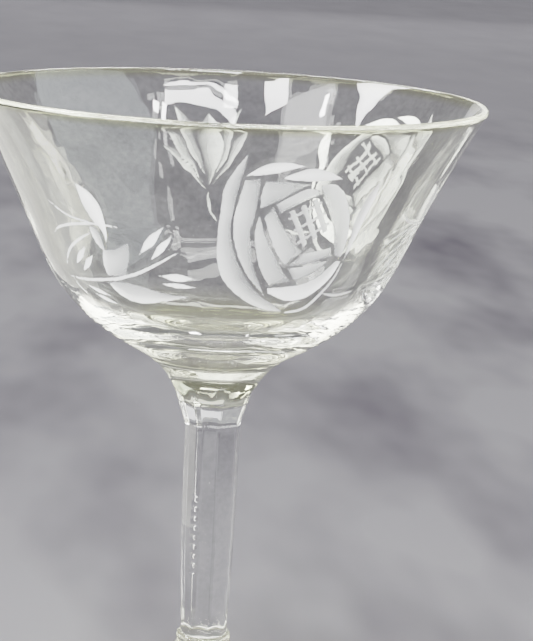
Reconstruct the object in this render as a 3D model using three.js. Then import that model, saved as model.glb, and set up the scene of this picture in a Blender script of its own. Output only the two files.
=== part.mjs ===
// A stemmed champagne glass: a flared bowl, an eight-panelled stem, a collar, a ringed knop and a disc foot.
// The five pieces are fused end to end on the Z axis, so each one meets the next on a flat face.
// Millimetres, +Z up, origin on the table under the centre of the foot.
import * as THREE from "three";

// Driving dimensions
const HEIGHT = 128;
const RIM_RADIUS = 49;
const FOOT_RADIUS = 38.5;
const PANELS = 8; // flat sides of the stem
const PANEL_TURN = THREE.MathUtils.degToRad(7.5); // from the X axis to the nearest corner

// Heights of the fused joints
const FOOT_TOP = 11.1;
const KNOP_TOP = 18.2;
const COLLAR_TOP = 20.5;
const STEM_TOP = 68.3;

// Bowl
const NECK_RADIUS = 7.1; // corners of the panelled neck, where it meets the stem
const SHOULDER = new THREE.Vector2(16.5, 79.4); // the neck's flare turns into the bowl
const SHOULDER_SLOPE = new THREE.Vector2(1, 0.56).normalize();
const WALL_START = new THREE.Vector2(34.1, 97.4); // the nearly straight wall starts
const WALL_SLOPE = new THREE.Vector2(0.44, 1).normalize();
const LIP_SLOPE = new THREE.Vector2(0.62, 1).normalize(); // the wall opens a little more at the lip
const LIP_WALL = 1.3; // thickness at the fire-polished rim
const LOW_WALL = 1.7; // thickness where the wall starts
const FLOOR_Z = 81.5; // inside bottom of the bowl

// Stem panels
const PANEL_START = 24; // round below this
const PANEL_END = 72.5; // the neck is round again from here
const STEM_START_RADIUS = 4.6;

// Collar and knop
const COLLAR_RADIUS = 5.4;
const COLLAR_NECK = 4.6;
const RIDGE_RADII = [8.5, 8.1, 5.8]; // from the foot upwards
const RIDGE_START = 11.6;
const GROOVE_DEPTH = 0.9;

// Foot
const SKIRT_TOP_RADIUS = 8.2; // a cone carries the knop
const SKIRT_FOOT = new THREE.Vector2(11.8, 3.2);
const EDGE_THICKNESS = 2.1;
const REST_INNER = 30; // the glass rests on a flat ring between these radii
const REST_OUTER = 37;
const HOLLOW = 0.9; // height of the hollow under the middle of the foot

// Fineness
const SEGMENTS = 6 * PANELS;
const CURVE_STEPS = 6;

// Turns an outline of (radius, height) points about Z.
function revolve(outline) {
  return new THREE.LatheGeometry(outline.getPoints(CURVE_STEPS), SEGMENTS).rotateX(Math.PI / 2);
}

// How far the section has gone from round (0) to panelled (1) at a height.
function panelling(z) {
  const rise = THREE.MathUtils.smoothstep(z, COLLAR_TOP, PANEL_START);
  const fade = THREE.MathUtils.smoothstep(z, STEM_TOP, PANEL_END);
  return rise * (1 - fade);
}

// Radius, at an angle from the X axis, of a regular polygon whose corners are at radius 1.
function polygonRadius(angle) {
  const halfSide = Math.PI / PANELS;
  const fromCorner = THREE.MathUtils.euclideanModulo(angle - PANEL_TURN, 2 * halfSide);
  return Math.cos(halfSide) / Math.cos(fromCorner - halfSide);
}

// Presses the stem and neck of a round piece into flat panels.
function pressPanels(geometry) {
  const position = geometry.getAttribute("position");
  const point = new THREE.Vector3();
  for (let i = 0; i < position.count; i++) {
    point.fromBufferAttribute(position, i);
    const flattening = polygonRadius(Math.atan2(point.y, point.x)) - 1;
    const scale = 1 + panelling(point.z) * flattening;
    position.setXY(i, point.x * scale, point.y * scale);
  }
  return geometry;
}

// A point a given length along a direction from another.
function step(from, direction, length) {
  return from.clone().addScaledVector(direction, length);
}

// Adds a curve that leaves and reaches its ends along the given directions.
function curveTo(path, end, leave, leaveReach, arrive, arriveReach) {
  const first = step(path.currentPoint, leave, leaveReach);
  const second = step(end, arrive, -arriveReach);
  return path.bezierCurveTo(first.x, first.y, second.x, second.y, end.x, end.y);
}

// Outer side from the neck up, over the lip, and down the inner side to the floor.
function bowlOutline() {
  const neckSlope = new THREE.Vector2(0.21, 1).normalize();
  const outward = new THREE.Vector2(1, 0);
  const down = WALL_SLOPE.clone().negate();
  const lip = LIP_WALL / 2;
  const lipAngle = LIP_SLOPE.angle() - Math.PI / 2;
  const lipInward = new THREE.Vector2(-LIP_SLOPE.y, LIP_SLOPE.x);
  const lipCentre = new THREE.Vector2(RIM_RADIUS - lip, HEIGHT - lip);
  const innerStart = step(WALL_START, new THREE.Vector2(-WALL_SLOPE.y, WALL_SLOPE.x), LOW_WALL);
  const path = new THREE.Path().moveTo(0, STEM_TOP).lineTo(NECK_RADIUS, STEM_TOP);
  curveTo(path, SHOULDER, neckSlope, 4.4, SHOULDER_SLOPE, 6.3);
  curveTo(path, WALL_START, SHOULDER_SLOPE, 8.6, WALL_SLOPE, 10);
  curveTo(path, step(lipCentre, lipInward, -lip), WALL_SLOPE, 12, LIP_SLOPE, 9);
  path.absarc(lipCentre.x, lipCentre.y, lip, lipAngle, lipAngle + Math.PI, false);
  curveTo(path, innerStart, LIP_SLOPE.clone().negate(), 9, down, 12);
  curveTo(path, new THREE.Vector2(0, FLOOR_Z), down, 13, outward.negate(), 16.5);
  return path;
}

function stemOutline() {
  return new THREE.Path()
    .moveTo(0, COLLAR_TOP)
    .lineTo(STEM_START_RADIUS, COLLAR_TOP)
    .lineTo(STEM_START_RADIUS + 0.2, PANEL_START)
    .bezierCurveTo(5.5, 38, 5.5, 52, 5.5, 62)
    .bezierCurveTo(5.5, 64.3, 6.1, 65.6, NECK_RADIUS, STEM_TOP)
    .lineTo(0, STEM_TOP);
}

function collarOutline() {
  const bulge = COLLAR_RADIUS + 0.3;
  return new THREE.Path()
    .moveTo(0, KNOP_TOP)
    .lineTo(COLLAR_NECK, KNOP_TOP)
    .bezierCurveTo(bulge, KNOP_TOP + 0.2, bulge, COLLAR_TOP - 0.2, COLLAR_NECK, COLLAR_TOP)
    .lineTo(0, COLLAR_TOP);
}

// Round ridges one above another, with a narrow groove under each.
function knopOutline() {
  const outline = new THREE.Path().moveTo(0, FOOT_TOP).lineTo(SKIRT_TOP_RADIUS, FOOT_TOP);
  const pitch = (KNOP_TOP - RIDGE_START) / RIDGE_RADII.length;
  RIDGE_RADII.forEach((radius, i) => {
    const low = RIDGE_START + i * pitch;
    const high = low + pitch;
    const groove = radius - GROOVE_DEPTH;
    const bulge = radius + GROOVE_DEPTH / 3; // control points here put the crest at the radius
    outline.lineTo(groove, low);
    outline.bezierCurveTo(bulge, low, bulge, high, groove, high);
  });
  return outline.lineTo(0, KNOP_TOP);
}

// Hollowed underside, flat resting ring, rounded edge, and the cone that carries the knop.
function footOutline() {
  return new THREE.Path()
    .moveTo(0, HOLLOW)
    .quadraticCurveTo(REST_INNER * 0.6, HOLLOW, REST_INNER, 0)
    .lineTo(REST_OUTER, 0)
    .quadraticCurveTo(FOOT_RADIUS, 0, FOOT_RADIUS, EDGE_THICKNESS / 2)
    .quadraticCurveTo(FOOT_RADIUS, EDGE_THICKNESS, REST_OUTER, EDGE_THICKNESS)
    .lineTo(SKIRT_FOOT.x + 1.6, SKIRT_FOOT.y)
    .quadraticCurveTo(SKIRT_FOOT.x, SKIRT_FOOT.y, SKIRT_FOOT.x - 0.6, SKIRT_FOOT.y + 1.6)
    .lineTo(SKIRT_TOP_RADIUS, FOOT_TOP)
    .lineTo(0, FOOT_TOP);
}

// Clear glass with a faint straw tint.
function glass() {
  return new THREE.MeshStandardMaterial({
    color: 0xe6ebdc,
    roughness: 0.03,
    metalness: 0,
    transparent: true,
    opacity: 0.35,
  });
}

function piece(name, geometry) {
  const mesh = new THREE.Mesh(geometry, glass());
  mesh.name = name;
  return mesh;
}

const champagneGlass = new THREE.Group();
champagneGlass.add(piece("bowl", pressPanels(revolve(bowlOutline()))));
champagneGlass.add(piece("stem", pressPanels(revolve(stemOutline()))));
champagneGlass.add(piece("stem_collar", revolve(collarOutline())));
champagneGlass.add(piece("ringed_knop", revolve(knopOutline())));
champagneGlass.add(piece("foot", revolve(footOutline())));

export default champagneGlass;
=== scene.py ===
# A stemmed champagne glass in clear glass, with roses and leaf sprays wheel-cut into the bowl.
# Lengths are in millimetres and angles in degrees until a mesh or a light is made, which is in metres.
# Angles round the Z axis start at -Y, towards the camera, and grow towards +X.
import math

import bmesh
import bpy
import numpy as np
from mathutils import Matrix, Vector
from mathutils.geometry import delaunay_2d_cdt


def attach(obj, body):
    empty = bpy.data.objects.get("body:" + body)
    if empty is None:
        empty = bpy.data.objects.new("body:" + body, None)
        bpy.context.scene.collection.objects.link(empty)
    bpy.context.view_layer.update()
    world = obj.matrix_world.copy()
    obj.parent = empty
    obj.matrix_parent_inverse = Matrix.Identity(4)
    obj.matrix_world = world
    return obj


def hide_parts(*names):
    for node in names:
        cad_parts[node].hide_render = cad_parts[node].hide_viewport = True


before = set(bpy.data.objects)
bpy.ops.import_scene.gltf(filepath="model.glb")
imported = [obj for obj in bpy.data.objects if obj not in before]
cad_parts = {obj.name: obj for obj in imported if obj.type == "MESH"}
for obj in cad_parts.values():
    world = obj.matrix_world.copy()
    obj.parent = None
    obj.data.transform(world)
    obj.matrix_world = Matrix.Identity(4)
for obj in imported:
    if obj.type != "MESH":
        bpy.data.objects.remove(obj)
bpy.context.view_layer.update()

MM = 0.001

# ---------------------------------------------------------------- dimensions shared with the CAD part

HEIGHT = 128
RIM_RADIUS = 49
FOOT_RADIUS = 38.5
PANELS = 8
PANEL_TURN = 7.5  # from the X axis to the nearest corner of the stem
FOOT_TOP = 11.1
KNOP_TOP = 18.2
COLLAR_TOP = 20.5
STEM_TOP = 68.3
NECK_RADIUS = 7.1
SHOULDER = (16.5, 79.4)
SHOULDER_SLOPE = (1, 0.56)
WALL_START = (34.1, 97.4)
WALL_SLOPE = (0.44, 1)
LIP_SLOPE = (0.62, 1)
LIP_WALL = 1.3
LOW_WALL = 1.7
FLOOR_Z = 81.5
PANEL_START = 24
PANEL_END = 72.5
STEM_START_RADIUS = 4.6
STEM_RADIUS = 5.5
COLLAR_RADIUS = 5.4
COLLAR_NECK = 4.6
RIDGE_RADII = (8.5, 8.1, 5.8)
RIDGE_START = 11.6
GROOVE_DEPTH = 0.9
SKIRT_TOP_RADIUS = 8.2
SKIRT_FOOT = (11.8, 3.2)
EDGE_THICKNESS = 2.1
REST_INNER = 30
REST_OUTER = 37
HOLLOW = 0.9

# ---------------------------------------------------------------- fineness and cutting

COLUMNS = 24 * PANELS  # mesh columns round the axis
JOINT_GROOVE = 0.18  # a fine groove round the joint of the stem and the bowl
CHATTER_ANGLE = -37.5  # a row of small dents runs up this corner of the stem
CHATTER_HEIGHTS = (33.5, 50)
CHATTER_PITCH = 1.95
CHATTER_DEPTH = 0.35
CHATTER_SPREAD = 6  # degrees to each side of the corner
CUT_LOW = 90  # the wheel-cut band of the bowl
CUT_HIGH = 125.4
BAND_RADIUS = 42  # arc lengths of the cut pattern are measured at this radius
BAND_STEP = 2 * math.pi * BAND_RADIUS / COLUMNS
SEAM = 54 * 360 / COLUMNS  # angle where the band's flat layout starts and ends, clear of every cut
OUTLINE_STEP = 0.4
EDGE_RING = 0.22  # the first row of mesh points inside a cut's outline
CUT_GRID = 0.7
PLAIN_GRID = 1.7

CLEAR, CUT, JOINT = 0, 1, 2  # material slots


# ---------------------------------------------------------------- curves

def unit(direction):
    length = math.hypot(*direction)
    return (direction[0] / length, direction[1] / length)


def step(point, direction, length):
    return (point[0] + direction[0] * length, point[1] + direction[1] * length)


def bezier(points, count):
    """Points along a Bezier curve of any degree, after its first point."""
    points = np.array(points, float)[:, None, :]
    t = np.linspace(0, 1, count + 1)[1:, None]
    while len(points) > 1:
        points = points[:-1] * (1 - t) + points[1:] * t
    return [tuple(p) for p in points[0]]


def curve_to(path, end, leave, leave_reach, arrive, arrive_reach, count):
    """Adds a curve that leaves and reaches its ends along the given directions."""
    first = step(path[-1], unit(leave), leave_reach)
    second = step(end, unit(arrive), -arrive_reach)
    path.extend(bezier([path[-1], first, second, end], count))


def smooth_line(points, spacing=OUTLINE_STEP):
    """A smooth curve through the points, with its own points evenly spaced."""
    points = np.array(points, float)
    if len(points) > 2:
        padded = np.vstack([2 * points[0] - points[1], points, 2 * points[-1] - points[-2]])
        t = np.linspace(0, 1, 13)[:-1, None]
        pieces = []
        for p0, p1, p2, p3 in zip(padded, padded[1:], padded[2:], padded[3:]):
            bend = 2 * p0 - 5 * p1 + 4 * p2 - p3
            twist = 3 * p1 - p0 - 3 * p2 + p3
            pieces.append(0.5 * (2 * p1 + (p2 - p0) * t + bend * t**2 + twist * t**3))
        points = np.vstack(pieces + [points[-1:]])
    along = np.concatenate([[0], np.cumsum(np.hypot(*np.diff(points, axis=0).T))])
    count = max(2, round(along[-1] / spacing))
    wanted = np.linspace(0, along[-1], count + 1)
    return np.stack([np.interp(wanted, along, points[:, k]) for k in (0, 1)], axis=1)


# ---------------------------------------------------------------- outlines of the five pieces

def bowl_outer():
    """Outer side of the bowl as (radius, height), from the neck to the start of the lip."""
    path = [(NECK_RADIUS - JOINT_GROOVE, STEM_TOP), (NECK_RADIUS, STEM_TOP)]
    curve_to(path, SHOULDER, (0.21, 1), 4.4, SHOULDER_SLOPE, 6.3, 36)
    curve_to(path, WALL_START, SHOULDER_SLOPE, 8.6, WALL_SLOPE, 10, 40)
    lip = LIP_WALL / 2
    across = unit((-LIP_SLOPE[1], LIP_SLOPE[0]))
    lip_start = step((RIM_RADIUS - lip, HEIGHT - lip), across, -lip)
    curve_to(path, lip_start, WALL_SLOPE, 12, LIP_SLOPE, 9, 60)
    del path[1]  # the first step of the curve now closes the groove
    return path


def bowl_lip_and_inside():
    """Over the lip and down the inside of the bowl to the middle of its floor."""
    lip = LIP_WALL / 2
    centre = (RIM_RADIUS - lip, HEIGHT - lip)
    turn = math.atan2(LIP_SLOPE[1], LIP_SLOPE[0]) - math.pi / 2
    angles = np.linspace(turn, turn + math.pi, 13)[1:]
    path = [step(centre, (math.cos(a), math.sin(a)), lip) for a in angles]
    inner_start = step(WALL_START, unit((-WALL_SLOPE[1], WALL_SLOPE[0])), LOW_WALL)
    down = (-WALL_SLOPE[0], -WALL_SLOPE[1])
    curve_to(path, inner_start, (-LIP_SLOPE[0], -LIP_SLOPE[1]), 9, down, 12, 40)
    curve_to(path, (0, FLOOR_Z), down, 13, (-1, 0), 16.5, 40)
    return path


def stem_outline():
    path = [(0, COLLAR_TOP), (STEM_START_RADIUS, COLLAR_TOP)]
    path.extend(bezier([path[-1], (STEM_START_RADIUS + 0.2, PANEL_START)], 8))
    path.extend(bezier([path[-1], (STEM_RADIUS, 38), (STEM_RADIUS, 52), (STEM_RADIUS, 62)], 110))
    path.extend(bezier([path[-1], (STEM_RADIUS, 64.3), (6.1, 65.6), (NECK_RADIUS, STEM_TOP)], 20)[:-1])
    path.extend([(NECK_RADIUS - JOINT_GROOVE, STEM_TOP), (0, STEM_TOP)])
    return path


def collar_outline():
    bulge = COLLAR_RADIUS + 0.3
    path = [(0, KNOP_TOP), (COLLAR_NECK, KNOP_TOP)]
    side = [(bulge, KNOP_TOP + 0.2), (bulge, COLLAR_TOP - 0.2)]
    path.extend(bezier([path[-1], *side, (COLLAR_NECK, COLLAR_TOP)], 16))
    path.append((0, COLLAR_TOP))
    return path


def knop_outline():
    """Round ridges one above another, with a narrow groove under each."""
    path = [(0, FOOT_TOP), (SKIRT_TOP_RADIUS, FOOT_TOP)]
    pitch = (KNOP_TOP - RIDGE_START) / len(RIDGE_RADII)
    for i, radius in enumerate(RIDGE_RADII):
        low = RIDGE_START + i * pitch
        groove = radius - GROOVE_DEPTH
        bulge = radius + GROOVE_DEPTH / 3
        path.append((groove, low))
        path.extend(bezier([(groove, low), (bulge, low), (bulge, low + pitch), (groove, low + pitch)], 14))
    path.append((0, KNOP_TOP))
    return path


def foot_outline():
    """Hollowed underside, flat resting ring, rounded edge, and the cone that carries the knop."""
    path = [(0, HOLLOW)]
    path.extend(bezier([path[-1], (REST_INNER * 0.6, HOLLOW), (REST_INNER, 0)], 24))
    path.append((REST_OUTER, 0))
    path.extend(bezier([path[-1], (FOOT_RADIUS, 0), (FOOT_RADIUS, EDGE_THICKNESS / 2)], 8))
    path.extend(bezier([path[-1], (FOOT_RADIUS, EDGE_THICKNESS), (REST_OUTER, EDGE_THICKNESS)], 8))
    skirt = (SKIRT_FOOT[0] + 1.6, SKIRT_FOOT[1])
    path.extend(bezier([path[-1], ((REST_OUTER + skirt[0]) / 2, EDGE_THICKNESS + 0.45), skirt], 20))
    path.extend(bezier([path[-1], SKIRT_FOOT, (SKIRT_FOOT[0] - 0.6, SKIRT_FOOT[1] + 1.6)], 10))
    path.extend(bezier([path[-1], (SKIRT_TOP_RADIUS, FOOT_TOP)], 8))
    path.append((0, FOOT_TOP))
    return path


def smoothstep(x, low, high):
    t = np.clip((x - low) / (high - low), 0, 1)
    return t * t * (3 - 2 * t)


def chatter(height, angle):
    """Depth of the small dents along one corner of the stem."""
    low, high = CHATTER_HEIGHTS
    if not low < height < high:
        return 0
    row = math.sin(math.pi * (height - low) / CHATTER_PITCH) ** 4
    off_corner = np.degrees(np.angle(np.exp(1j * (angle - math.radians(CHATTER_ANGLE)))))
    return CHATTER_DEPTH * row * np.exp(-((off_corner / CHATTER_SPREAD) ** 2))


def panelled(radius, height, angle):
    """The radius once the round stem and neck are pressed into flat panels with softened corners."""
    half = math.pi / PANELS
    from_corner = np.mod(angle - math.radians(PANEL_TURN), 2 * half)
    flat = math.cos(half) / np.cos(from_corner - half)
    corner = math.cos(half) / math.cos(half - 2 * math.pi / COLUMNS)
    section = np.minimum(flat, corner)
    amount = smoothstep(height, COLLAR_TOP, PANEL_START) * (1 - smoothstep(height, STEM_TOP, PANEL_END))
    return radius * (1 + amount * (section - 1)) - chatter(height, angle)


# ---------------------------------------------------------------- the wheel-cut pattern
# Each cut is a closed outline in (arc length, height), about the middle of its motif.
# The first side of a petal is its deep edge; the cut runs out towards the other sides.
# The outlines of the rose and the spray are traced from the photograph. A separate program turned the points
# into millimetres, and they were then adjusted by hand. See "Rules not met" in report.md.

# Whiteness of each kind of cut is partly its frosting and partly painted highlight: the strong and deepest
# cuts are made fully white where they catch the light.
BROAD = {"depth": 0.16, "white": 0.48}
STRONG = {"depth": 0.2, "white": 1}
DEEPEST = {"depth": 0.22, "white": 1}


def petal(*sides, depth=BROAD["depth"], white=BROAD["white"]):
    lines = [smooth_line(side) for side in sides]
    rest = np.vstack([lines[1]] + [line[1:] for line in lines[2:]])
    return {"outline": np.vstack([line[:-1] for line in lines]), "deep": lines[0], "rest": rest,
            "depth": depth, "white": white}


def olive(start, end, width, depth=0.15):
    """A pointed oval cut with both sides alike."""
    start, end = np.array(start, float), np.array(end, float)
    along = end - start
    across = np.array([-along[1], along[0]]) / np.hypot(*along) * width / 2
    middle = (start + end) / 2
    shape = petal([start, middle + across, end], [end, middle - across, start], depth=depth, white=0.9)
    shape["even"] = True
    return shape


def stroke(points, width, depth=0.08):
    """A thin line cut that tapers out at both ends."""
    line = smooth_line(points)
    along = np.gradient(line, axis=0)
    across = np.stack([-along[:, 1], along[:, 0]], axis=1) / np.hypot(*along.T)[:, None]
    swell = np.sin(np.linspace(0, math.pi, len(line)))[:, None] ** 0.35 * width / 2
    left, right = line + across * swell, (line - across * swell)[::-1]
    return {"outline": np.vstack([left[:-1], right[:-1]]), "deep": left, "rest": right,
            "depth": depth, "white": 0.8, "even": True}


def bar(start, end, width, depth=0.1):
    """A straight cut of even width with square ends."""
    start, end = np.array(start, float), np.array(end, float)
    along = end - start
    across = np.array([-along[1], along[0]]) / np.hypot(*along) * width / 2
    corners = [start + across, end + across, end - across, start - across]
    shape = petal(*([a, b] for a, b in zip(corners, corners[1:] + corners[:1])), depth=depth)
    shape["even"] = True
    return shape


def hatch(corners, lines):
    """Crossed line cuts over a four-sided patch, wider one way than the other."""
    a, b, c, d = (np.array(corner, float) for corner in corners)
    cuts = []
    for i in range(lines):
        t = (i + 0.5) / lines
        cuts.append(bar(a + (b - a) * t, d + (c - d) * t, 1))
        cuts.append(bar(a + (d - a) * t, b + (c - b) * t, 0.6))
    return cuts


def rose():
    """An open rose: outer petals on the left, spiralling blades round a hatched heart, and a leaf."""
    cuts = [
        petal([(0.8, -16.4), (-3.4, -16), (-7.8, -14.6), (-11.6, -12.4), (-14, -10), (-15.3, -6.5),
               (-15.4, -2), (-15, 2.6), (-14.6, 7), (-13.2, 10.2), (-11, 13.8)],
              [(-11, 13.8), (-11.4, 11), (-12.1, 7.5), (-12.8, 2.6), (-13, 0), (-12.6, -3), (-11.2, -6.6),
               (-8.8, -10), (-5.6, -13), (0.8, -16.4)]),
        petal([(-4.4, -13.4), (-8.4, -9.8), (-10.8, -6.4), (-12.2, -2.8), (-12.6, 0), (-12.4, 3),
               (-11.2, 8.8)],
              [(-11.2, 8.8), (-8.6, 9.2)],
              [(-8.6, 9.2), (-8.7, 5.8), (-8.9, 2), (-9.4, -0.8), (-8.9, -3.6), (-7.8, -7.6), (-4.4, -13.4)]),
        petal([(-11.3, 9.5), (-8.2, 11.7), (-5, 12.2), (-1.8, 11.5)],
              [(-1.8, 11.5), (-4.4, 10.8), (-7, 10), (-11.3, 9.5)], **STRONG),
        petal([(-5.4, 9.3), (-3, 10.4), (-0.8, 11.1), (2.2, 10.6), (5.4, 9.1)],
              [(5.4, 9.1), (2.2, 8.8), (-2, 8.8), (-5.4, 9.3)], **STRONG),
        petal([(-8.1, 3.6), (-8.3, 6), (-7.9, 8.7)], [(-7.9, 8.7), (-4.6, 8.6), (0.6, 8.1)],
              [(0.6, 8.1), (-1.2, 7.7), (-5, 5.2), (-8.1, 3.6)]),
        petal([(-5.4, 4.4), (-3.2, 5.9), (-0.6, 7.3), (1.6, 7.2)], [(1.6, 7.2), (2, 6.3)],
              [(2, 6.3), (-1.2, 4.7), (-3.6, 3.3), (-4.4, 2.6)], [(-4.4, 2.6), (-5.4, 4.4)]),
        petal([(-4, -11), (-5.6, -9.2), (-7.1, -6.6), (-8, -3.6), (-8.5, -0.8), (-8.2, 2.6)],
              [(-8.2, 2.6), (-7.6, 1.4), (-6.3, -1.8), (-4.3, -4.8), (-1.9, -8), (0.6, -10.3)],
              [(0.6, -10.3), (-4, -11)]),
        petal([(-1.5, -7.2), (-3.7, -4.8), (-5.7, -1.4), (-7.2, 2)], [(-7.2, 2), (-5.8, 4)],
              [(-5.8, 4), (-4.6, 2), (-2.6, -0.8), (-0.6, -3), (1.6, -4.5)], [(1.6, -4.5), (-1.5, -7.2)]),
        petal([(1.8, 8), (4.6, 8), (7.6, 5.2), (9.7, 1.6), (11, -2.2), (11.3, -4.6), (11, -6.2)],
              [(11, -6.2), (9.2, -5.8)],
              [(9.2, -5.8), (8.4, -3.6), (6.8, -0.1), (4.2, 3.9), (2.4, 6.6), (1.8, 8)]),
        petal([(2, -5.1), (7.8, -4)], [(7.8, -4), (8.7, -5.8)], [(8.7, -5.8), (3.5, -7), (-0.9, -7.4)],
              [(-0.9, -7.4), (2, -5.1)]),
        petal([(-0.6, -7.8), (3.5, -7.4), (8.7, -6.4)], [(8.7, -6.4), (5.4, -8.9), (1.4, -10.2)],
              [(1.4, -10.2), (-0.6, -7.8)]),
        petal([(-4, -12.6), (0.8, -14.2), (5.2, -13.8), (8.2, -12.2), (10.4, -10), (11.6, -7)],
              [(11.6, -7), (10.2, -6.8), (9.2, -7.7), (7, -9.7), (4, -10.9), (0.8, -11.3), (-4.2, -11.6)],
              [(-4.2, -11.6), (-4, -12.6)], **STRONG),
        petal([(12.2, -7), (13, -3.4), (13.4, 0.6), (13.9, 4.8), (13.4, 8.4)],
              [(13.4, 8.4), (11.9, 5), (11.3, 1), (11.8, -3), (12.2, -7)], **STRONG),
        stroke([(1.2, -16.7), (6, -16), (9.2, -13.2), (11.3, -10.4), (12.2, -7.2)], 0.8),
        stroke([(9.6, -13.2), (14, -13.8), (19, -13.5)], 0.6),
    ]
    return cuts + hatch([(-3.4, 2.8), (2.2, 5.8), (6.2, -0.2), (1, -4)], 3)


def spray():
    """A leaf spray: a tall leaf over a bell-shaped bud, curling tendrils, and pairs of thumb cuts."""
    return [
        petal([(-1, 3), (-0.2, 6), (-0.3, 10.3), (-1.9, 12.8), (-4.5, 14.2)],
              [(-4.5, 14.2), (-4.3, 10.5), (-3.2, 7.8), (-1.4, 5.7), (-1, 3)], **DEEPEST),
        petal([(-1.9, 1.6), (-3.4, 2.7), (-4.2, 4.3), (-4.3, 6.3)],
              [(-4.3, 6.3), (-2.6, 6), (-1.9, 4), (-1.9, 1.6)]),
        petal([(-2.9, -3.1), (-3.3, -0.8), (-2.4, 2)], [(-2.4, 2), (0.6, 2.5), (4.2, 4.1)],
              [(4.2, 4.1), (3.9, 1.5), (2, -2.6)], [(2, -2.6), (-2.9, -3.1)]),
        petal([(-3.5, -4.4), (-0.6, -6.6), (4, -7.6), (10.6, -6.6), (17, -5.2)],
              [(17, -5.2), (10.5, -4.9), (4.7, -4), (0, -3.8), (-3.5, -4.4)]),
        olive((-7.1, 2), (-12.3, -2.1), 1.3),
        olive((-5.6, 0.6), (-10.5, -3.2), 1.3),
        olive((-10.9, -5.9), (-3.8, -7.2), 0.9),
        olive((-9.4, -7.3), (-2.7, -8.6), 0.9),
        olive((6.1, 1.9), (12.2, 7.9), 1.7),
        olive((8.5, 1.1), (13.8, 6.4), 1.4),
        olive((9.8, -1.6), (18.2, -1.7), 1.5),
        olive((10.1, -3.1), (18, -3.3), 1),
        stroke([(-17, -5), (-13, -4.9), (-9, -4.6), (-4, -3.9), (0, -3.2), (4.4, -1.9), (8.7, 0),
                (14.6, 3.2)], 0.7),
        stroke([(-14.5, 9.8), (-11.3, 8.2), (-8.3, 7.3), (-3.3, 6.9)], 0.5),
        stroke([(-16.6, 3.2), (-13.6, 4.8), (-8.1, 6.1), (-2.6, 6.8), (2.7, 6.8)], 0.6),
        stroke([(-16.3, -2.7), (-14.5, -0.7), (-11.7, 1.4), (-8.1, 3.3), (-4.6, 4.9)], 0.6),
        stroke([(-15.7, -5), (-14.7, -6.5), (-12.5, -8)], 0.5),
    ]


def half_open_bloom():
    """A bloom seen from the side, its petals fanning up from one point."""
    return [
        petal([(0.5, -9.8), (4.5, -6.5), (8, -3), (10.2, -0.8)],
              [(10.2, -0.8), (7, -1.6), (3.6, -5), (0.5, -9.8)]),
        petal([(1, -8.4), (4.6, -4.6), (7.2, -1.4), (8.8, 2.6)], [(8.8, 2.6), (6, 1), (4.2, -3), (1, -8.4)]),
        petal([(0.8, -6.8), (4, -2.6), (5.6, 1), (7, 7.4)], [(7, 7.4), (3.8, 4), (2.9, 0), (0.8, -6.8)]),
        petal([(0, -9), (-2.6, -3), (-3, 2), (0, 6)], [(0, 6), (2.4, 2), (1.6, -3), (0, -9)]),
        petal([(-0.8, -8), (-4, -3), (-4.8, 1.4), (-6.6, 7.2)],
              [(-6.6, 7.2), (-3.8, 3.8), (-2.9, -2), (-0.8, -8)]),
        petal([(-1, -9), (-5, -5), (-7, -1), (-8.6, 3.2)], [(-8.6, 3.2), (-5.4, 1), (-4.4, -3.2), (-1, -9)]),
        stroke([(0, -10.2), (-0.8, -13.5), (-3, -16)], 0.7),
    ]


# The last column is painted light as well as frosting: it is lower on the motifs round the back of the bowl,
# a painted shade.
MOTIFS = (  # cuts, angle round the bowl, height of the motif's middle, whiteness of its shallower cuts
    (rose, 16, 109.3, 0.85),
    (spray, -35.3, 100.6, 1),
    (half_open_bloom, -179, 113, 0.5),
    (rose, -232, 110, 0.6),
    (spray, 70, 100.6, 0.8),
)


def placed_cuts():
    """Every cut of the band, laid flat: arc length from the seam, and height."""
    cuts = []
    for motif, angle, height, whiteness in MOTIFS:
        shift = np.array([math.radians(angle - SEAM + 360) * BAND_RADIUS, height])
        for cut in motif():
            moved = dict(cut)
            # Painted shade: the motif's whiteness dims its shallower cuts, most on the motifs at the back of
            # the bowl.
            if cut["white"] < STRONG["white"]:
                moved["white"] = cut["white"] * whiteness
            for key in ("outline", "deep", "rest"):
                moved[key] = cut[key] + shift
            cuts.append(moved)
    return cuts


def inside(points, outline):
    """Which points lie inside a closed outline."""
    x, y = points[:, :1], points[:, 1:]
    x1, y1 = outline[:, 0], outline[:, 1]
    x2, y2 = np.roll(x1, -1), np.roll(y1, -1)
    spans = (y1 > y) != (y2 > y)
    rise = np.where(y2 == y1, 1, y2 - y1)
    crosses = spans & (x < (x2 - x1) * (y - y1) / rise + x1)
    return crosses.sum(axis=1) % 2 == 1


def distance(points, line):
    """Distance from each point to a line of points."""
    nearest = np.full(len(points), np.inf)
    for start, end in zip(line, line[1:]):
        along = end - start
        t = np.clip((points - start) @ along / max(along @ along, 1e-12), 0, 1)
        nearest = np.minimum(nearest, np.hypot(*(points - start - t[:, None] * along).T))
    return nearest


def near(points, outline, margin):
    """The points in a cut's neighbourhood, as an index array."""
    low, high = outline.min(axis=0) - margin, outline.max(axis=0) + margin
    return np.nonzero(((points >= low) & (points <= high)).all(axis=1))[0]


def grid(width, low, high, spacing):
    """Staggered rows of points that fill a band."""
    rows = []
    height = spacing * 0.866
    for i, y in enumerate(np.arange(low + height, high - height * 0.5, height)):
        x = np.arange(spacing * (0.75 if i % 2 else 0.25), width, spacing)
        rows.append(np.stack([x, np.full_like(x, y)], axis=1))
    return np.vstack(rows)


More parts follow.
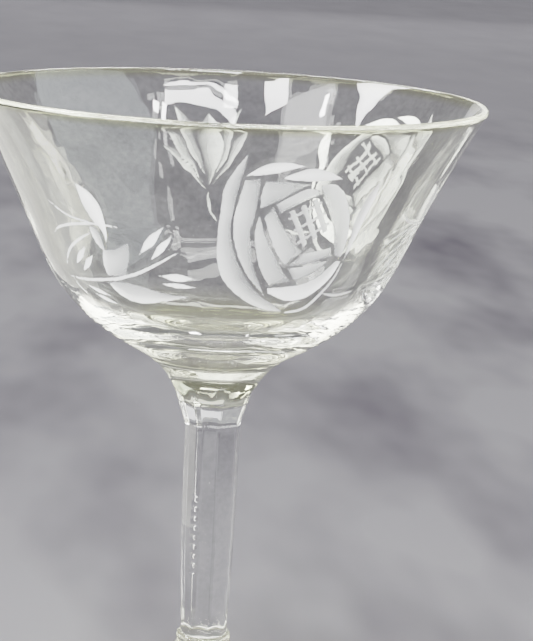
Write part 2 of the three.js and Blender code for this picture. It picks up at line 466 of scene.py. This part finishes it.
def inner_ring(outline, offset):
    """A row of points just inside a closed outline, so that the cut's edge is even."""
    ahead, behind = np.roll(outline, -1, axis=0), np.roll(outline, 1, axis=0)
    along = ahead - behind
    turning = np.sum(outline[:, 0] * ahead[:, 1] - ahead[:, 0] * outline[:, 1])
    inward = np.stack([-along[:, 1], along[:, 0]], axis=1) * np.sign(turning)
    ring = outline + inward / np.hypot(*inward.T)[:, None] * offset
    closed = np.vstack([outline, outline[:1]])
    return ring[inside(ring, outline) & (distance(ring, closed) > offset * 0.9)]


def fill_points(cuts, width):
    """Mesh points between the outlines: close together in the cuts, and wider apart elsewhere."""
    fine = grid(width, CUT_LOW, CUT_HIGH, CUT_GRID)
    coarse = grid(width, CUT_LOW, CUT_HIGH, PLAIN_GRID)
    keep_fine = np.zeros(len(fine), bool)
    keep_coarse = (coarse[:, 0] > 0.8) & (coarse[:, 0] < width - 0.8)
    rings = [inner_ring(cut["outline"], EDGE_RING) for cut in cuts]
    owner = np.repeat(np.arange(len(cuts)), [len(ring) for ring in rings])
    rings = np.vstack(rings)
    keep_ring = np.ones(len(rings), bool)
    for i, cut in enumerate(cuts):
        closed = np.vstack([cut["outline"], cut["outline"][:1]])
        index = near(fine, closed, 0.1)
        if len(index):
            keep_fine[index[inside(fine[index], cut["outline"])]] = True
        index = near(coarse, closed, 1)
        if len(index):
            blocked = inside(coarse[index], cut["outline"]) | (distance(coarse[index], closed) < 0.75)
            keep_coarse[index[blocked]] = False
        index = near(rings, closed, 0.2)
        index = index[owner[index] != i]
        if len(index):
            keep_ring[index[distance(rings[index], closed) < 0.12]] = False
    for cut in cuts:
        closed = np.vstack([cut["outline"], cut["outline"][:1]])
        index = near(fine, closed, 0.6)
        if len(index):
            keep_fine[index[distance(fine[index], closed) < EDGE_RING + 0.28]] = False
    return np.vstack([fine[keep_fine], coarse[keep_coarse], rings[keep_ring]])


def cut_depth(points, cuts):
    """How deep the wheel went at each point, and how white the cut is there: its frosting together with the
    painted highlight and painted shade of the cuts' whiteness.
    """
    depth = np.zeros(len(points))
    frost = np.zeros(len(points))
    for cut in cuts:
        index = near(points, cut["outline"], 0.02)
        if not len(index):
            continue
        index = index[inside(points[index], cut["outline"])]
        here = points[index]
        deep, rest = distance(here, cut["deep"]), distance(here, cut["rest"])
        across = deep / np.maximum(deep + rest, 1e-6)
        if cut.get("even"):
            profile = 4 * across * (1 - across)
            white = np.full(len(here), cut["white"])
        else:
            profile = np.minimum(across / 0.35, 1) * (1 - across) / 0.65
            white = cut["white"] + 0.25 - 0.5 * across
        wide = np.minimum((deep + rest) / 2, 1)
        depth[index] = np.maximum(depth[index], profile * wide * cut["depth"])
        frost[index] = np.maximum(frost[index], white)
    return depth, frost


# ---------------------------------------------------------------- meshes

class Surface:
    """Collects vertices and faces, with a material slot, cut number and vertex values for each."""

    def __init__(self):
        self.points, self.faces, self.slots, self.cuts = [], [], [], []
        self.frost, self.tint = [], []

    def add_points(self, points, tint, frost=None):
        start = len(self.points)
        self.points.extend(map(tuple, points))
        self.tint.extend(np.broadcast_to(tint, len(points)))
        self.frost.extend(np.zeros(len(points)) if frost is None else frost)
        return start

    def add_face(self, corners, slot, cut=0):
        self.faces.append(tuple(corners))
        self.slots.append(slot)
        self.cuts.append(cut)

    def revolve(self, outline, tint, slot=CLEAR):
        """Turns an outline about Z. A point on the axis is one vertex. tint(radius, height) is the tint."""
        angles = np.arange(COLUMNS) * 2 * math.pi / COLUMNS
        rings = []
        for radius, height in outline:
            value = tint(radius, height)
            if radius < 1e-6:
                rings.append([self.add_points([(0, 0, height)], value)])
                continue
            r = panelled(radius, height, angles)
            ring = np.stack([r * np.sin(angles), -r * np.cos(angles), np.full(COLUMNS, height)], axis=1)
            start = self.add_points(ring, value)
            rings.append(range(start, start + COLUMNS))
        for low, high in zip(rings, rings[1:]):
            for i in range(COLUMNS):
                j = (i + 1) % COLUMNS
                if len(low) == 1:
                    self.add_face((low[0], high[j], high[i]), slot)
                elif len(high) == 1:
                    self.add_face((low[i], low[j], high[0]), slot)
                else:
                    self.add_face((low[i], low[j], high[j], high[i]), slot)

    def build(self, name, materials):
        mesh = bpy.data.meshes.new(name)
        mesh.from_pydata((np.array(self.points) * MM).tolist(), [], self.faces)
        mesh.attributes.new("tint", "FLOAT", "POINT").data.foreach_set("value", self.tint)
        # The frost values hold the cuts' frosting together with painted highlight and painted shade.
        mesh.attributes.new("frost", "FLOAT", "POINT").data.foreach_set("value", self.frost)
        mesh.attributes.new("cut", "INT", "FACE").data.foreach_set("value", self.cuts)
        mesh.polygons.foreach_set("material_index", self.slots)
        bm = bmesh.new()
        bm.from_mesh(mesh)
        bmesh.ops.remove_doubles(bm, verts=bm.verts, dist=0.003 * MM)
        bmesh.ops.recalc_face_normals(bm, faces=bm.faces)
        cut = bm.faces.layers.int["cut"]
        for face in bm.faces:
            face.smooth = True
        for edge in bm.edges:
            sides = {(face.material_index, face[cut]) for face in edge.link_faces}
            edge.smooth = len(sides) == 1
        bm.to_mesh(mesh)
        bm.free()
        obj = bpy.data.objects.new(name, mesh)
        bpy.context.scene.collection.objects.link(obj)
        for material in materials:
            mesh.materials.append(material)
        return obj


def add_cut_band(surface, outer, tint):
    """The wheel-cut band of the bowl's outer side, meshed flat and then wrapped round."""
    width = COLUMNS * BAND_STEP
    cuts = placed_cuts()
    columns = np.arange(COLUMNS + 1) * BAND_STEP
    side = np.linspace(CUT_LOW, CUT_HIGH, 24)[1:-1]
    bottom = [(x, CUT_LOW) for x in columns]
    right = [(width, y) for y in side]
    top = [(x, CUT_HIGH) for x in columns[::-1]]
    left = [(0, y) for y in side[::-1]]
    border = bottom + right + top + left
    points = [np.array(border)]
    edges = [(i, (i + 1) % len(border)) for i in range(len(border))]
    count = len(border)
    for cut in cuts:
        n = len(cut["outline"])
        points.append(cut["outline"])
        edges.extend((count + i, count + (i + 1) % n) for i in range(n))
        count += n
    points.append(fill_points(cuts, width))
    flat = [Vector(p) for p in np.vstack(points)]
    found, _, faces, _, _, _ = delaunay_2d_cdt(flat, edges, [], 1, 1e-5)
    flat = np.array([tuple(p) for p in found])
    depth, frost = cut_depth(flat, cuts)
    on_edge = (flat[:, 1] < CUT_LOW + 1e-4) | (flat[:, 1] > CUT_HIGH - 1e-4)
    depth[on_edge] = 0

    radii, heights = outer[:, 0], outer[:, 1]
    radius = np.interp(flat[:, 1], heights, radii)
    slope = np.interp(flat[:, 1] + 0.5, heights, radii) - np.interp(flat[:, 1] - 0.5, heights, radii)
    length = np.hypot(1, slope)
    radius = radius - depth / length
    height = flat[:, 1] + depth * slope / length
    angle = flat[:, 0] / BAND_RADIUS + math.radians(SEAM)
    wrapped = np.stack([radius * np.sin(angle), -radius * np.cos(angle), height], axis=1)
    start = surface.add_points(wrapped, [tint(r, z) for r, z in zip(radius, height)], frost)

    faces = np.array([face for face in faces if len(face) == 3])
    middle = flat[faces].mean(axis=1)
    number = np.zeros(len(faces), int)
    for i, cut in enumerate(cuts):
        index = near(middle, cut["outline"], 0)
        if len(index):
            number[index[inside(middle[index], cut["outline"])]] = i + 1
    for face, cut in zip(faces, number):
        surface.add_face([start + i for i in face], CUT if cut else CLEAR, int(cut))


def bowl_tint(radius, height):
    """Thick glass looks straw-coloured: the rim and the bottom of the bowl, most of all its floor."""
    rim = smoothstep(height, HEIGHT - 2.2, HEIGHT - 0.8)
    bottom = 1 - smoothstep(height, 78, 87)
    neck = 1 - smoothstep(height, 70, 79)
    floor = (1 - smoothstep(radius, 10, 18)) * smoothstep(height, 80, 81)
    return 0.75 * rim + 0.75 * bottom + 0.65 * floor - 0.3 * neck


STEM_TINT = -0.25  # the long thin panels look clearest
COLLAR_TINT = 0.5
KNOP_TINT = 0.6


def foot_tint(radius, height):
    """The foot is straw-coloured along its edge."""
    return 0.2 + 0.6 * smoothstep(radius, 36, 38)


def make_bowl(materials):
    surface = Surface()
    outer = np.array(bowl_outer())
    below = [tuple(p) for p in outer if p[1] < CUT_LOW - 0.3]
    above = [tuple(p) for p in outer if p[1] > CUT_HIGH + 0.3]
    low = (float(np.interp(CUT_LOW, outer[:, 1], outer[:, 0])), CUT_LOW)
    high = (float(np.interp(CUT_HIGH, outer[:, 1], outer[:, 0])), CUT_HIGH)
    surface.revolve([(0, STEM_TOP), (NECK_RADIUS - JOINT_GROOVE, STEM_TOP)], bowl_tint, JOINT)
    surface.revolve(below + [low], bowl_tint)
    add_cut_band(surface, outer, bowl_tint)
    surface.revolve([high] + above + bowl_lip_and_inside(), bowl_tint)
    return surface.build("glass_bowl", materials)


def make_turned(name, outline, tint, joints, materials):
    """A piece turned about Z whose flat faces at the joint heights are fused to its neighbours."""
    surface = Surface()
    run = [outline[0]]
    slot = None
    for before, after in zip(outline, outline[1:]):
        fused = before[1] == after[1] and before[1] in joints and min(before[0], after[0]) < 1e-6
        kind = JOINT if fused else CLEAR
        if slot is not None and kind != slot:
            surface.revolve(run, tint, slot)
            run = [before]
        slot = kind
        run.append(after)
    surface.revolve(run, tint, slot)
    return surface.build(name, materials)


# ---------------------------------------------------------------- materials

def new_material(name):
    material = bpy.data.materials.new(name)
    material.use_nodes = True
    nodes, links = material.node_tree.nodes, material.node_tree.links
    nodes.clear()
    return material, nodes, links


def noise(nodes, links, vector, scale, detail):
    """A noise texture on the given coordinates."""
    texture = nodes.new("ShaderNodeTexNoise")
    texture.inputs["Scale"].default_value = scale
    texture.inputs["Detail"].default_value = detail
    links.new(vector, texture.inputs["Vector"])
    return texture


def remap(nodes, links, value, source, target):
    """Maps a value from one range to another, held at the ends."""
    node = nodes.new("ShaderNodeMapRange")
    node.inputs["From Min"].default_value, node.inputs["From Max"].default_value = source
    node.inputs["To Min"].default_value, node.inputs["To Max"].default_value = target
    links.new(value, node.inputs["Value"])
    return node.outputs["Result"]


def stretch(nodes, links, vector, scale):
    """Coordinates scaled along each axis."""
    node = nodes.new("ShaderNodeMapping")
    node.inputs["Scale"].default_value = scale
    links.new(vector, node.inputs["Vector"])
    return node.outputs["Vector"]


def roughen(nodes, links, height, shader, strength, distance):
    """A bump on the shader's surface."""
    bump = nodes.new("ShaderNodeBump")
    bump.inputs["Strength"].default_value = strength
    bump.inputs["Distance"].default_value = distance
    links.new(height, bump.inputs["Height"])
    links.new(bump.outputs["Normal"], shader.inputs["Normal"])


def let_lamps_through(nodes, links, shader):
    """Shadow rays pass the glass, so that it throws a light shadow."""
    output = nodes.new("ShaderNodeOutputMaterial")
    path = nodes.new("ShaderNodeLightPath")
    clear = nodes.new("ShaderNodeBsdfTransparent")
    clear.inputs["Color"].default_value = (0.86, 0.87, 0.84, 1)
    mix = nodes.new("ShaderNodeMixShader")
    links.new(path.outputs["Is Shadow Ray"], mix.inputs[0])
    links.new(shader.outputs[0], mix.inputs[1])
    links.new(clear.outputs[0], mix.inputs[2])
    links.new(mix.outputs[0], output.inputs["Surface"])


def clear_glass():
    """Soda glass: nearly colourless where it is thin, straw-coloured where it is thick or seen edge on."""
    material, nodes, links = new_material("clear_glass")
    shader = nodes.new("ShaderNodeBsdfPrincipled")
    shader.inputs["Transmission Weight"].default_value = 1
    shader.inputs["IOR"].default_value = 1.5
    tint = nodes.new("ShaderNodeAttribute")
    tint.attribute_name = "tint"
    edge = nodes.new("ShaderNodeLayerWeight")
    edge.inputs["Blend"].default_value = 0.35
    straw = nodes.new("ShaderNodeMath")
    straw.operation = "MULTIPLY_ADD"
    straw.use_clamp = True
    straw.inputs[1].default_value = 0.45
    links.new(edge.outputs["Facing"], straw.inputs[0])
    links.new(tint.outputs["Fac"], straw.inputs[2])
    ramp = nodes.new("ShaderNodeValToRGB")
    ramp.color_ramp.elements[0].color = (0.985, 0.99, 0.98, 1)
    ramp.color_ramp.elements[1].color = (0.8, 0.83, 0.52, 1)
    links.new(straw.outputs[0], ramp.inputs["Fac"])
    place = nodes.new("ShaderNodeTexCoord").outputs["Object"]
    specks = noise(nodes, links, place, 900, 3)
    film = nodes.new("ShaderNodeVectorMath")
    film.operation = "SCALE"
    links.new(ramp.outputs["Color"], film.inputs[0])
    links.new(remap(nodes, links, specks.outputs["Fac"], (0.42, 0.62), (1, 0.9)), film.inputs["Scale"])
    links.new(film.outputs["Vector"], shader.inputs["Base Color"])
    smear = noise(nodes, links, place, 160, 4)
    links.new(remap(nodes, links, smear.outputs["Fac"], (0.5, 0.8), (0, 0.03)), shader.inputs["Roughness"])
    wave = noise(nodes, links, stretch(nodes, links, place, (1, 1, 0.3)), 90, 2)
    roughen(nodes, links, wave.outputs["Fac"], shader, 0.6, 0.0003)
    let_lamps_through(nodes, links, shader)
    return material


def cut_glass():
    """Wheel-cut glass left grey: frosted along the deep edge, and clearer where the cut runs out. Its
    whiteness also holds painted highlight on the brightest cuts and painted shade on the motifs at the back.
    """
    material, nodes, links = new_material("cut_glass")
    shader = nodes.new("ShaderNodeBsdfPrincipled")
    shader.inputs["IOR"].default_value = 1.5
    frost = nodes.new("ShaderNodeAttribute")
    frost.attribute_name = "frost"
    place = nodes.new("ShaderNodeTexCoord").outputs["Object"]
    grain = noise(nodes, links, place, 900, 6)
    grain.inputs["Roughness"].default_value = 0.7
    cloud = noise(nodes, links, place, 120, 3)
    base = nodes.new("ShaderNodeMath")
    base.operation = "SUBTRACT"
    base.inputs[1].default_value = 0.25
    links.new(frost.outputs["Fac"], base.inputs[0])
    uneven = nodes.new("ShaderNodeMath")
    uneven.operation = "MULTIPLY_ADD"
    uneven.inputs[1].default_value = 0.5
    uneven.use_clamp = True
    links.new(cloud.outputs["Fac"], uneven.inputs[0])
    links.new(base.outputs[0], uneven.inputs[2])
    frosted = uneven.outputs[0]
    links.new(remap(nodes, links, frosted, (0, 1), (0.18, 0.6)), shader.inputs["Roughness"])
    ramp = nodes.new("ShaderNodeValToRGB")
    ramp.color_ramp.elements[0].color = (0.86, 0.88, 0.87, 1)
    ramp.color_ramp.elements[1].color = (0.98, 0.99, 0.97, 1)
    links.new(frosted, ramp.inputs["Fac"])
    links.new(ramp.outputs["Color"], shader.inputs["Base Color"])
    links.new(remap(nodes, links, frosted, (0, 1), (0.95, 0.1)), shader.inputs["Transmission Weight"])
    roughen(nodes, links, grain.outputs["Fac"], shader, 0.35, 0.00005)
    let_lamps_through(nodes, links, shader)
    return material


def fused_joint():
    """Where two pieces are fused the glass runs on, so light passes straight through the meeting faces."""
    material, nodes, links = new_material("fused_joint")
    output = nodes.new("ShaderNodeOutputMaterial")
    clear = nodes.new("ShaderNodeBsdfTransparent")
    links.new(clear.outputs[0], output.inputs["Surface"])
    return material


# ---------------------------------------------------------------- the glass

materials = [clear_glass(), cut_glass(), fused_joint()]
joints = (FOOT_TOP, KNOP_TOP, COLLAR_TOP, STEM_TOP)
turned = {
    "stem": ("glass_stem", stem_outline(), lambda radius, height: STEM_TINT),
    "stem_collar": ("glass_collar", collar_outline(), lambda radius, height: COLLAR_TINT),
    "ringed_knop": ("glass_knop", knop_outline(), lambda radius, height: KNOP_TINT),
    "foot": ("glass_foot", foot_outline(), foot_tint),
}
pieces = {"bowl": make_bowl(materials)}
for node, (name, outline, tint) in turned.items():
    pieces[node] = make_turned(name, outline, tint, joints, materials)
for node, piece in pieces.items():
    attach(piece, "root")
    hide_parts(node)

# ---------------------------------------------------------------- floor and backdrop


def plain_paint():
    """Pale grey-lavender paint with a mottle that fades away from the glass."""
    material, nodes, links = new_material("backdrop_paint")
    output = nodes.new("ShaderNodeOutputMaterial")
    shader = nodes.new("ShaderNodeBsdfPrincipled")
    shader.inputs["Roughness"].default_value = 0.85
    shader.inputs["Specular IOR Level"].default_value = 0
    place = nodes.new("ShaderNodeTexCoord").outputs["Object"]
    mottle = noise(nodes, links, stretch(nodes, links, place, (1, 0.4, 1)), 16, 3)
    away = nodes.new("ShaderNodeVectorMath")
    away.operation = "LENGTH"
    links.new(place, away.inputs[0])
    centred = nodes.new("ShaderNodeMath")
    centred.operation = "SUBTRACT"
    centred.inputs[1].default_value = 0.5
    links.new(mottle.outputs["Fac"], centred.inputs[0])
    faded = nodes.new("ShaderNodeMath")
    faded.operation = "MULTIPLY_ADD"
    faded.inputs[2].default_value = 0.58
    links.new(centred.outputs[0], faded.inputs[0])
    links.new(remap(nodes, links, away.outputs["Value"], (0.4, 1.3), (1, 0.1)), faded.inputs[1])
    ramp = nodes.new("ShaderNodeValToRGB")
    ramp.color_ramp.elements[0].position = 0.36
    ramp.color_ramp.elements[0].color = (0.14, 0.131, 0.151, 1)
    ramp.color_ramp.elements[1].position = 0.64
    ramp.color_ramp.elements[1].color = (0.3, 0.293, 0.312, 1)
    links.new(faded.outputs[0], ramp.inputs["Fac"])
    links.new(ramp.outputs["Color"], shader.inputs["Base Color"])
    links.new(shader.outputs[0], output.inputs["Surface"])
    return material


def make_floor():
    """A wide round floor, in metres, a hair below the foot so that the two faces do not coincide."""
    radius, sides, drop = 7, 128, 0.0001
    angles = np.arange(sides) * 2 * math.pi / sides
    points = [(radius * math.cos(a), radius * math.sin(a), -drop) for a in angles]
    mesh = bpy.data.meshes.new("floor")
    mesh.from_pydata(points, [], [tuple(range(sides))])
    mesh.materials.append(plain_paint())
    obj = bpy.data.objects.new("floor", mesh)
    bpy.context.scene.collection.objects.link(obj)
    return obj


make_floor()

# ---------------------------------------------------------------- lights


WHITE = (1, 1, 1)
STRAW = (1, 1, 0.88)
WINDOW_RADIANCE = 45
LAMP_RADIANCE = 90
NEAR, FAR = 1.1, 2.5  # distances of the lights from the bowl, in metres


def area_light(name, width, length, radiance, color):
    """A rectangular light that the camera does not see."""
    light = bpy.data.lights.new(name, "AREA")
    light.shape = "RECTANGLE"
    light.size, light.size_y = width, length
    light.energy = radiance * math.pi * light.size * light.size_y
    light.color = color
    obj = bpy.data.objects.new(name, light)
    obj.visible_camera = False
    bpy.context.scene.collection.objects.link(obj)
    return obj


def softbox(name, azimuth, elevation, width, height, radiance,
            distance=NEAR, lights_floor=False, color=WHITE):
    """A light that faces the bowl. Its size is in degrees, as the bowl sees it."""
    middle = Vector((0, 0, 0.105))
    a, e = math.radians(azimuth), math.radians(elevation)
    away = Vector((math.sin(a) * math.cos(e), -math.cos(a) * math.cos(e), math.sin(e)))
    across, up = (2 * distance * math.tan(math.radians(size / 2)) for size in (width, height))
    obj = area_light(name, across, up, radiance, color)
    obj.location = middle + away * distance
    obj.rotation_euler = away.to_track_quat("Z", "Y").to_euler()
    obj.visible_diffuse = lights_floor


# Windows, which show as reflections on the bowl: azimuth, elevation, width, height.
# A separate program worked back from the reflections in the photograph to the places of the windows, lamps,
# glare and haze, for one viewpoint, and they were then adjusted by hand. See "Rules not met" in report.md.
WINDOWS = (
    (14, 54.8, 29, 2.4),
    (14, 57.2, 29, 0.7),
    (-6, 56, 5, 3.6),
    (17, 71, 24, 9),
    (-38, 55, 9, 5.5),
    (-108, 46, 26, 10),
    (176, 37, 20, 5),
    (-168, 37, 5, 4),
)
for number, place in enumerate(WINDOWS):
    softbox(f"window_{number}", *place, WINDOW_RADIANCE)

# Small bright lamps beside the windows, given in the same way.
LAMPS = (
    (44, 50, 1.8, 1.8),
    (38.5, 49.6, 2.4, 3.6),
    (37.5, 46.8, 2.2, 3),
    (42, 46.5, 1.2, 1),
    (34.7, 37.3, 2, 1.8),
    (42, 41.3, 2, 1.6),
    (35.2, 43.6, 2, 1.6),
    (-70, 48.6, 2, 3),
    (-73, 43.6, 2, 1.8),
    (-75, 41.6, 2, 1.6),
    (-77.7, 38.2, 2, 1.6),
)
for number, place in enumerate(LAMPS):
    softbox(f"lamp_{number}", *place, LAMP_RADIANCE)

softbox("glare", -57, 46.5, 21, 13, 7)
softbox("haze", 84, 39, 56, 28, 2.2, color=(0.88, 0.97, 1))

# Low soft lights. The one in front also falls on the cuts and the floor.
softbox("low_front", -25, 10, 60, 18, 29, distance=FAR, lights_floor=True)
softbox("low_left", -105, 12, 60, 22, 9, distance=FAR, color=STRAW)
softbox("low_right", 100, 12, 60, 22, 9, distance=FAR, color=STRAW)


def floor_light():
    """A flat light just above the floor, seen only as a reflection in the outside of the bowl's edge."""
    obj = area_light("floor_light", 0.1, 0.36, 2, (1, 1, 0.86))
    obj.location = (-0.16, 0.2, 0.001)
    obj.rotation_euler = (math.pi, 0, 0)
    obj.visible_diffuse = False
    obj.visible_transmission = False


floor_light()


def sky_light():
    """Soft daylight from above, even over the whole floor, with no reflection in the glass."""
    light = bpy.data.lights.new("daylight", "SUN")
    light.energy = 2
    light.angle = math.radians(70)
    obj = bpy.data.objects.new("daylight", light)
    obj.rotation_euler = Vector((-0.4, 0.3, 1)).to_track_quat("Z", "Y").to_euler()
    obj.visible_glossy = False
    obj.visible_transmission = False
    bpy.context.scene.collection.objects.link(obj)


sky_light()
softbox("low_back", 170, 8, 50, 10, 1.1, distance=FAR, lights_floor=True)

world = bpy.data.worlds.new("soft_room")
world.use_nodes = True
sky, sky_links = world.node_tree.nodes, world.node_tree.links
place = sky.new("ShaderNodeTexCoord")
split = sky.new("ShaderNodeSeparateXYZ")
ramp = sky.new("ShaderNodeValToRGB")
ramp.color_ramp.elements[0].position = 0.05
ramp.color_ramp.elements[0].color = (0.94, 0.94, 1, 1)
ramp.color_ramp.elements[1].position = 0.5
ramp.color_ramp.elements[1].color = (0.5, 0.5, 0.52, 1)
sky_links.new(place.outputs["Generated"], split.inputs[0])
sky_links.new(split.outputs["Z"], ramp.inputs["Fac"])
sky_links.new(ramp.outputs["Color"], sky["Background"].inputs["Color"])
sky["Background"].inputs["Strength"].default_value = 0.5
bpy.context.scene.world = world

bpy.context.scene.view_settings.look = "AgX - Medium High Contrast"

# Light runs a long way inside the glass walls before it comes out again.
for bounces in ("max_bounces", "transmission_bounces", "glossy_bounces"):
    setattr(bpy.context.scene.cycles, bounces, 48)

# ---------------------------------------------------------------- camera


def make_camera(distance, height, azimuth, aim, pitch, roll, lens):
    """A camera at a distance from the axis, aimed a little to the right of it, pitched down and rolled."""
    a = math.radians(azimuth)
    outward = Vector((math.sin(a), -math.cos(a), 0))
    up = Vector((0, 0, 1))
    forward = -outward
    right = forward.cross(up)
    aim, pitch, roll = math.radians(aim), math.radians(pitch), math.radians(roll)
    forward = math.cos(aim) * forward + math.sin(aim) * right
    right = forward.cross(up)
    forward = math.cos(pitch) * forward - math.sin(pitch) * up
    above = right.cross(forward)
    x = math.cos(roll) * right + math.sin(roll) * above
    y = -math.sin(roll) * right + math.cos(roll) * above
    camera = bpy.data.cameras.new("camera")
    camera.lens = lens
    camera.sensor_width = 36
    obj = bpy.data.objects.new("camera", camera)
    turned = Matrix((x, y, -forward)).transposed().to_4x4()
    obj.matrix_world = Matrix.Translation((outward * distance + up * height) * MM) @ turned
    bpy.context.scene.collection.objects.link(obj)
    bpy.context.scene.camera = obj
    return obj


# These values come from fitting the camera to the photograph with a separate program.
make_camera(distance=360, height=164.6, azimuth=-4, aim=1.509, pitch=12.535, roll=2.925, lens=107.1)
